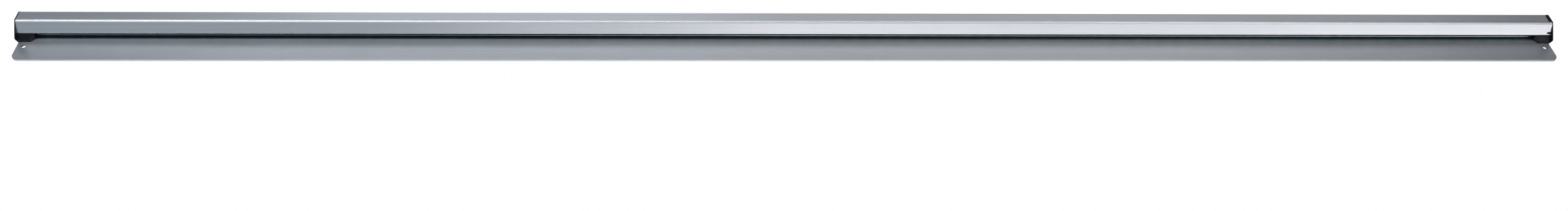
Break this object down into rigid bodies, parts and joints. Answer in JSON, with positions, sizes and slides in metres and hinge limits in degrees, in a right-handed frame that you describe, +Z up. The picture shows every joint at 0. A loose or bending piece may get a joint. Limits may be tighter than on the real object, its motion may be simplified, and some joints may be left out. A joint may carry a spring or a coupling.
{
  "type": "order ticket rail",
  "caption": "Wall-mounted aluminium ticket rail: a hooded channel of loose glass marbles grips paper slips pushed up into its slot, and black plastic caps close its ends.",
  "frame": {"origin": "midway between the two screw holes, on the back face that lies on the wall", "axes": "+X along the rail to the right as seen from the room, -Y out of the wall towards the room, +Z up"},
  "size_m": [1.2208, 0.017, 0.0448],
  "materials": {
    "anodised_aluminium": "satin clear anodised, with fine lengthwise draw lines",
    "black_plastic": "moulded, semi-matt",
    "marble_glass": "polished"
  },
  "bodies": {
    "rail": {"rail": "anodised_aluminium", "left_end_cap": "black_plastic", "right_end_cap": "black_plastic"},
    "marbles_01": {"marbles_01": "marble_glass"},
    "marbles_02": {"marbles_02": "marble_glass"},
    "marbles_03": {"marbles_03": "marble_glass"},
    "marbles_04": {"marbles_04": "marble_glass"},
    "marbles_05": {"marbles_05": "marble_glass"},
    "marbles_06": {"marbles_06": "marble_glass"},
    "marbles_07": {"marbles_07": "marble_glass"},
    "marbles_08": {"marbles_08": "marble_glass"},
    "marbles_09": {"marbles_09": "marble_glass"},
    "marbles_10": {"marbles_10": "marble_glass"},
    "marbles_11": {"marbles_11": "marble_glass"},
    "marbles_12": {"marbles_12": "marble_glass"},
    "marbles_13": {"marbles_13": "marble_glass"},
    "marbles_14": {"marbles_14": "marble_glass"},
    "marbles_15": {"marbles_15": "marble_glass"},
    "marbles_16": {"marbles_16": "marble_glass"},
    "marbles_17": {"marbles_17": "marble_glass"},
    "marbles_18": {"marbles_18": "marble_glass"},
    "marbles_19": {"marbles_19": "marble_glass"},
    "marbles_20": {"marbles_20": "marble_glass"},
    "marbles_21": {"marbles_21": "marble_glass"},
    "marbles_22": {"marbles_22": "marble_glass"},
    "marbles_23": {"marbles_23": "marble_glass"},
    "marbles_24": {"marbles_24": "marble_glass"},
    "marbles_25": {"marbles_25": "marble_glass"},
    "marbles_26": {"marbles_26": "marble_glass"},
    "marbles_27": {"marbles_27": "marble_glass"},
    "marbles_28": {"marbles_28": "marble_glass"},
    "marbles_29": {"marbles_29": "marble_glass"},
    "marbles_30": {"marbles_30": "marble_glass"},
    "marbles_31": {"marbles_31": "marble_glass"},
    "marbles_32": {"marbles_32": "marble_glass"},
    "marbles_33": {"marbles_33": "marble_glass"},
    "marbles_34": {"marbles_34": "marble_glass"},
    "marbles_35": {"marbles_35": "marble_glass"},
    "marbles_36": {"marbles_36": "marble_glass"},
    "marbles_37": {"marbles_37": "marble_glass"},
    "marbles_38": {"marbles_38": "marble_glass"},
    "marbles_39": {"marbles_39": "marble_glass"},
    "marbles_40": {"marbles_40": "marble_glass"},
    "marbles_41": {"marbles_41": "marble_glass"},
    "marbles_42": {"marbles_42": "marble_glass"},
    "marbles_43": {"marbles_43": "marble_glass"},
    "marbles_44": {"marbles_44": "marble_glass"},
    "marbles_45": {"marbles_45": "marble_glass"},
    "marbles_46": {"marbles_46": "marble_glass"},
    "marbles_47": {"marbles_47": "marble_glass"}
  },
  "joints": [
    {"name": "marbles_01_lift", "type": "slide", "parent": "rail", "child": "marbles_01", "axis": [0, -0.848, 0.5299], "range_m": [0, 0.0014]},
    {"name": "marbles_02_lift", "type": "slide", "parent": "rail", "child": "marbles_02", "axis": [0, -0.848, 0.5299], "range_m": [0, 0.0014]},
    {"name": "marbles_03_lift", "type": "slide", "parent": "rail", "child": "marbles_03", "axis": [0, -0.848, 0.5299], "range_m": [0, 0.0014]},
    {"name": "marbles_04_lift", "type": "slide", "parent": "rail", "child": "marbles_04", "axis": [0, -0.848, 0.5299], "range_m": [0, 0.0014]},
    {"name": "marbles_05_lift", "type": "slide", "parent": "rail", "child": "marbles_05", "axis": [0, -0.848, 0.5299], "range_m": [0, 0.0014]},
    {"name": "marbles_06_lift", "type": "slide", "parent": "rail", "child": "marbles_06", "axis": [0, -0.848, 0.5299], "range_m": [0, 0.0014]},
    {"name": "marbles_07_lift", "type": "slide", "parent": "rail", "child": "marbles_07", "axis": [0, -0.848, 0.5299], "range_m": [0, 0.0014]},
    {"name": "marbles_08_lift", "type": "slide", "parent": "rail", "child": "marbles_08", "axis": [0, -0.848, 0.5299], "range_m": [0, 0.0014]},
    {"name": "marbles_09_lift", "type": "slide", "parent": "rail", "child": "marbles_09", "axis": [0, -0.848, 0.5299], "range_m": [0, 0.0014]},
    {"name": "marbles_10_lift", "type": "slide", "parent": "rail", "child": "marbles_10", "axis": [0, -0.848, 0.5299], "range_m": [0, 0.0014]},
    {"name": "marbles_11_lift", "type": "slide", "parent": "rail", "child": "marbles_11", "axis": [0, -0.848, 0.5299], "range_m": [0, 0.0014]},
    {"name": "marbles_12_lift", "type": "slide", "parent": "rail", "child": "marbles_12", "axis": [0, -0.848, 0.5299], "range_m": [0, 0.0014]},
    {"name": "marbles_13_lift", "type": "slide", "parent": "rail", "child": "marbles_13", "axis": [0, -0.848, 0.5299], "range_m": [0, 0.0014]},
    {"name": "marbles_14_lift", "type": "slide", "parent": "rail", "child": "marbles_14", "axis": [0, -0.848, 0.5299], "range_m": [0, 0.0014]},
    {"name": "marbles_15_lift", "type": "slide", "parent": "rail", "child": "marbles_15", "axis": [0, -0.848, 0.5299], "range_m": [0, 0.0014]},
    {"name": "marbles_16_lift", "type": "slide", "parent": "rail", "child": "marbles_16", "axis": [0, -0.848, 0.5299], "range_m": [0, 0.0014]},
    {"name": "marbles_17_lift", "type": "slide", "parent": "rail", "child": "marbles_17", "axis": [0, -0.848, 0.5299], "range_m": [0, 0.0014]},
    {"name": "marbles_18_lift", "type": "slide", "parent": "rail", "child": "marbles_18", "axis": [0, -0.848, 0.5299], "range_m": [0, 0.0014]},
    {"name": "marbles_19_lift", "type": "slide", "parent": "rail", "child": "marbles_19", "axis": [0, -0.848, 0.5299], "range_m": [0, 0.0014]},
    {"name": "marbles_20_lift", "type": "slide", "parent": "rail", "child": "marbles_20", "axis": [0, -0.848, 0.5299], "range_m": [0, 0.0014]},
    {"name": "marbles_21_lift", "type": "slide", "parent": "rail", "child": "marbles_21", "axis": [0, -0.848, 0.5299], "range_m": [0, 0.0014]},
    {"name": "marbles_22_lift", "type": "slide", "parent": "rail", "child": "marbles_22", "axis": [0, -0.848, 0.5299], "range_m": [0, 0.0014]},
    {"name": "marbles_23_lift", "type": "slide", "parent": "rail", "child": "marbles_23", "axis": [0, -0.848, 0.5299], "range_m": [0, 0.0014]},
    {"name": "marbles_24_lift", "type": "slide", "parent": "rail", "child": "marbles_24", "axis": [0, -0.848, 0.5299], "range_m": [0, 0.0014]},
    {"name": "marbles_25_lift", "type": "slide", "parent": "rail", "child": "marbles_25", "axis": [0, -0.848, 0.5299], "range_m": [0, 0.0014]},
    {"name": "marbles_26_lift", "type": "slide", "parent": "rail", "child": "marbles_26", "axis": [0, -0.848, 0.5299], "range_m": [0, 0.0014]},
    {"name": "marbles_27_lift", "type": "slide", "parent": "rail", "child": "marbles_27", "axis": [0, -0.848, 0.5299], "range_m": [0, 0.0014]},
    {"name": "marbles_28_lift", "type": "slide", "parent": "rail", "child": "marbles_28", "axis": [0, -0.848, 0.5299], "range_m": [0, 0.0014]},
    {"name": "marbles_29_lift", "type": "slide", "parent": "rail", "child": "marbles_29", "axis": [0, -0.848, 0.5299], "range_m": [0, 0.0014]},
    {"name": "marbles_30_lift", "type": "slide", "parent": "rail", "child": "marbles_30", "axis": [0, -0.848, 0.5299], "range_m": [0, 0.0014]},
    {"name": "marbles_31_lift", "type": "slide", "parent": "rail", "child": "marbles_31", "axis": [0, -0.848, 0.5299], "range_m": [0, 0.0014]},
    {"name": "marbles_32_lift", "type": "slide", "parent": "rail", "child": "marbles_32", "axis": [0, -0.848, 0.5299], "range_m": [0, 0.0014]},
    {"name": "marbles_33_lift", "type": "slide", "parent": "rail", "child": "marbles_33", "axis": [0, -0.848, 0.5299], "range_m": [0, 0.0014]},
    {"name": "marbles_34_lift", "type": "slide", "parent": "rail", "child": "marbles_34", "axis": [0, -0.848, 0.5299], "range_m": [0, 0.0014]},
    {"name": "marbles_35_lift", "type": "slide", "parent": "rail", "child": "marbles_35", "axis": [0, -0.848, 0.5299], "range_m": [0, 0.0014]},
    {"name": "marbles_36_lift", "type": "slide", "parent": "rail", "child": "marbles_36", "axis": [0, -0.848, 0.5299], "range_m": [0, 0.0014]},
    {"name": "marbles_37_lift", "type": "slide", "parent": "rail", "child": "marbles_37", "axis": [0, -0.848, 0.5299], "range_m": [0, 0.0014]},
    {"name": "marbles_38_lift", "type": "slide", "parent": "rail", "child": "marbles_38", "axis": [0, -0.848, 0.5299], "range_m": [0, 0.0014]},
    {"name": "marbles_39_lift", "type": "slide", "parent": "rail", "child": "marbles_39", "axis": [0, -0.848, 0.5299], "range_m": [0, 0.0014]},
    {"name": "marbles_40_lift", "type": "slide", "parent": "rail", "child": "marbles_40", "axis": [0, -0.848, 0.5299], "range_m": [0, 0.0014]},
    {"name": "marbles_41_lift", "type": "slide", "parent": "rail", "child": "marbles_41", "axis": [0, -0.848, 0.5299], "range_m": [0, 0.0014]},
    {"name": "marbles_42_lift", "type": "slide", "parent": "rail", "child": "marbles_42", "axis": [0, -0.848, 0.5299], "range_m": [0, 0.0014]},
    {"name": "marbles_43_lift", "type": "slide", "parent": "rail", "child": "marbles_43", "axis": [0, -0.848, 0.5299], "range_m": [0, 0.0014]},
    {"name": "marbles_44_lift", "type": "slide", "parent": "rail", "child": "marbles_44", "axis": [0, -0.848, 0.5299], "range_m": [0, 0.0014]},
    {"name": "marbles_45_lift", "type": "slide", "parent": "rail", "child": "marbles_45", "axis": [0, -0.848, 0.5299], "range_m": [0, 0.0014]},
    {"name": "marbles_46_lift", "type": "slide", "parent": "rail", "child": "marbles_46", "axis": [0, -0.848, 0.5299], "range_m": [0, 0.0014]},
    {"name": "marbles_47_lift", "type": "slide", "parent": "rail", "child": "marbles_47", "axis": [0, -0.848, 0.5299], "range_m": [0, 0.0014]}
  ]
}
